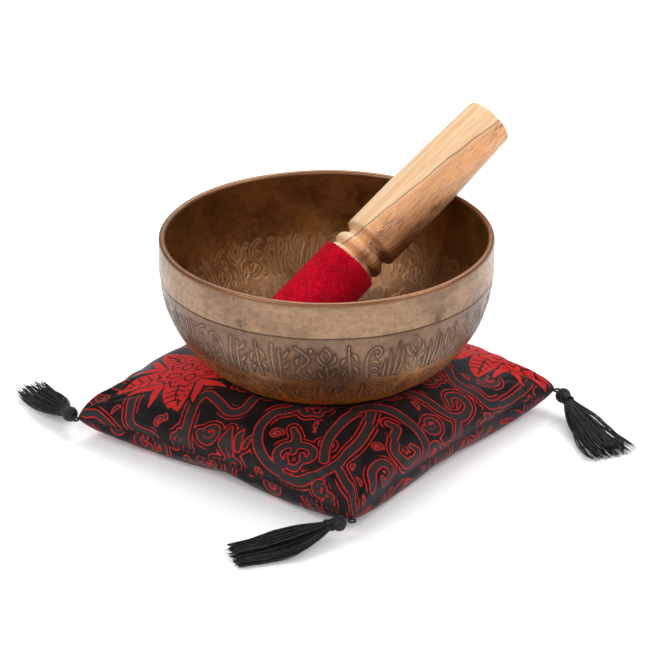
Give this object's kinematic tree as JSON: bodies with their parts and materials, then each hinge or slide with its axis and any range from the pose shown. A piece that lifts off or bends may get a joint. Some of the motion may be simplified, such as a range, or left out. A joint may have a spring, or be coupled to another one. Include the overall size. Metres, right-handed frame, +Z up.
{
  "type": "singing bowl set",
  "caption": "Engraved bronze singing bowl on a square brocade cushion with corner tassels, with a suede-sleeved wooden mallet leaning inside it.",
  "frame": {"origin": "on the table, under the bowl's vertical axis", "axes": "+Z up along the bowl's axis; the mallet leans towards +X +Y, and the cushion's nearest-to-X corner points 7.6 degrees from +X towards +Y"},
  "size_m": [0.3, 0.295, 0.1391],
  "materials": {
    "bowl_bronze": "satin aged",
    "mallet_wood": "smooth oiled",
    "sleeve_suede": "suede nap",
    "brocade": "satin weave with woven pattern",
    "filling": "loose cotton",
    "black_thread": "matt thread",
    "tassel_silk": "silky thread"
  },
  "bodies": {
    "cushion": {"cushion_cover_top": "brocade", "cushion_cover_bottom": "brocade", "cushion_filling": "filling", "closing_stitches": "black_thread"},
    "bowl": {"bowl": "bowl_bronze"},
    "mallet": {"mallet_handle": "mallet_wood", "mallet_sleeve": "sleeve_suede"},
    "tassel_left_turn": {"tassel_left_loop": "tassel_silk"},
    "tassel_left_hang": {"tassel_left_head": "tassel_silk", "tassel_left_binding": "tassel_silk", "tassel_left_skirt": "tassel_silk"},
    "tassel_front_turn": {"tassel_front_loop": "tassel_silk"},
    "tassel_front_hang": {"tassel_front_head": "tassel_silk", "tassel_front_binding": "tassel_silk", "tassel_front_skirt": "tassel_silk"},
    "tassel_right_turn": {"tassel_right_loop": "tassel_silk"},
    "tassel_right_hang": {"tassel_right_head": "tassel_silk", "tassel_right_binding": "tassel_silk", "tassel_right_skirt": "tassel_silk"},
    "tassel_back_turn": {"tassel_back_loop": "tassel_silk"},
    "tassel_back_hang": {"tassel_back_head": "tassel_silk", "tassel_back_binding": "tassel_silk", "tassel_back_skirt": "tassel_silk"}
  },
  "joints": [
    {"name": "bowl_lift", "type": "slide", "parent": "cushion", "child": "bowl", "axis": [0, 0, 1], "range_m": [0, 0.12]},
    {"name": "mallet_lift", "type": "slide", "parent": "bowl", "child": "mallet", "axis": [0, 0, 1], "range_m": [0, 0.12]},
    {"name": "tassel_left_swing", "type": "hinge", "parent": "cushion", "child": "tassel_left_turn", "pos_m": [-0.11759, -0.01597, 0.01], "axis": [0, 0, 1], "range_deg": [-20, 160]},
    {"name": "tassel_left_lift", "type": "hinge", "parent": "tassel_left_turn", "child": "tassel_left_hang", "pos_m": [-0.11759, -0.01597, 0.01], "axis": [0.8829, 0.4695, 0], "range_deg": [0, 90]},
    {"name": "tassel_front_swing", "type": "hinge", "parent": "cushion", "child": "tassel_front_turn", "pos_m": [0.01127, -0.11449, 0.01], "axis": [0, 0, 1], "range_deg": [-12, 168]},
    {"name": "tassel_front_lift", "type": "hinge", "parent": "tassel_front_turn", "child": "tassel_front_hang", "pos_m": [0.01127, -0.11449, 0.01], "axis": [-0.342, 0.9397, 0], "range_deg": [0, 90]},
    {"name": "tassel_right_swing", "type": "hinge", "parent": "cushion", "child": "tassel_right_turn", "pos_m": [0.10979, 0.01437, 0.01], "axis": [0, 0, 1], "range_deg": [-16, 164]},
    {"name": "tassel_right_lift", "type": "hinge", "parent": "tassel_right_turn", "child": "tassel_right_hang", "pos_m": [0.10979, 0.01437, 0.01], "axis": [-0.9135, -0.4067, 0], "range_deg": [0, 90]},
    {"name": "tassel_back_swing", "type": "hinge", "parent": "cushion", "child": "tassel_back_turn", "pos_m": [-0.01907, 0.11289, 0.01], "axis": [0, 0, 1], "range_deg": [-18, 162]},
    {"name": "tassel_back_lift", "type": "hinge", "parent": "tassel_back_turn", "child": "tassel_back_hang", "pos_m": [-0.01907, 0.11289, 0.01], "axis": [0.4384, -0.8988, 0], "range_deg": [0, 90]}
  ]
}
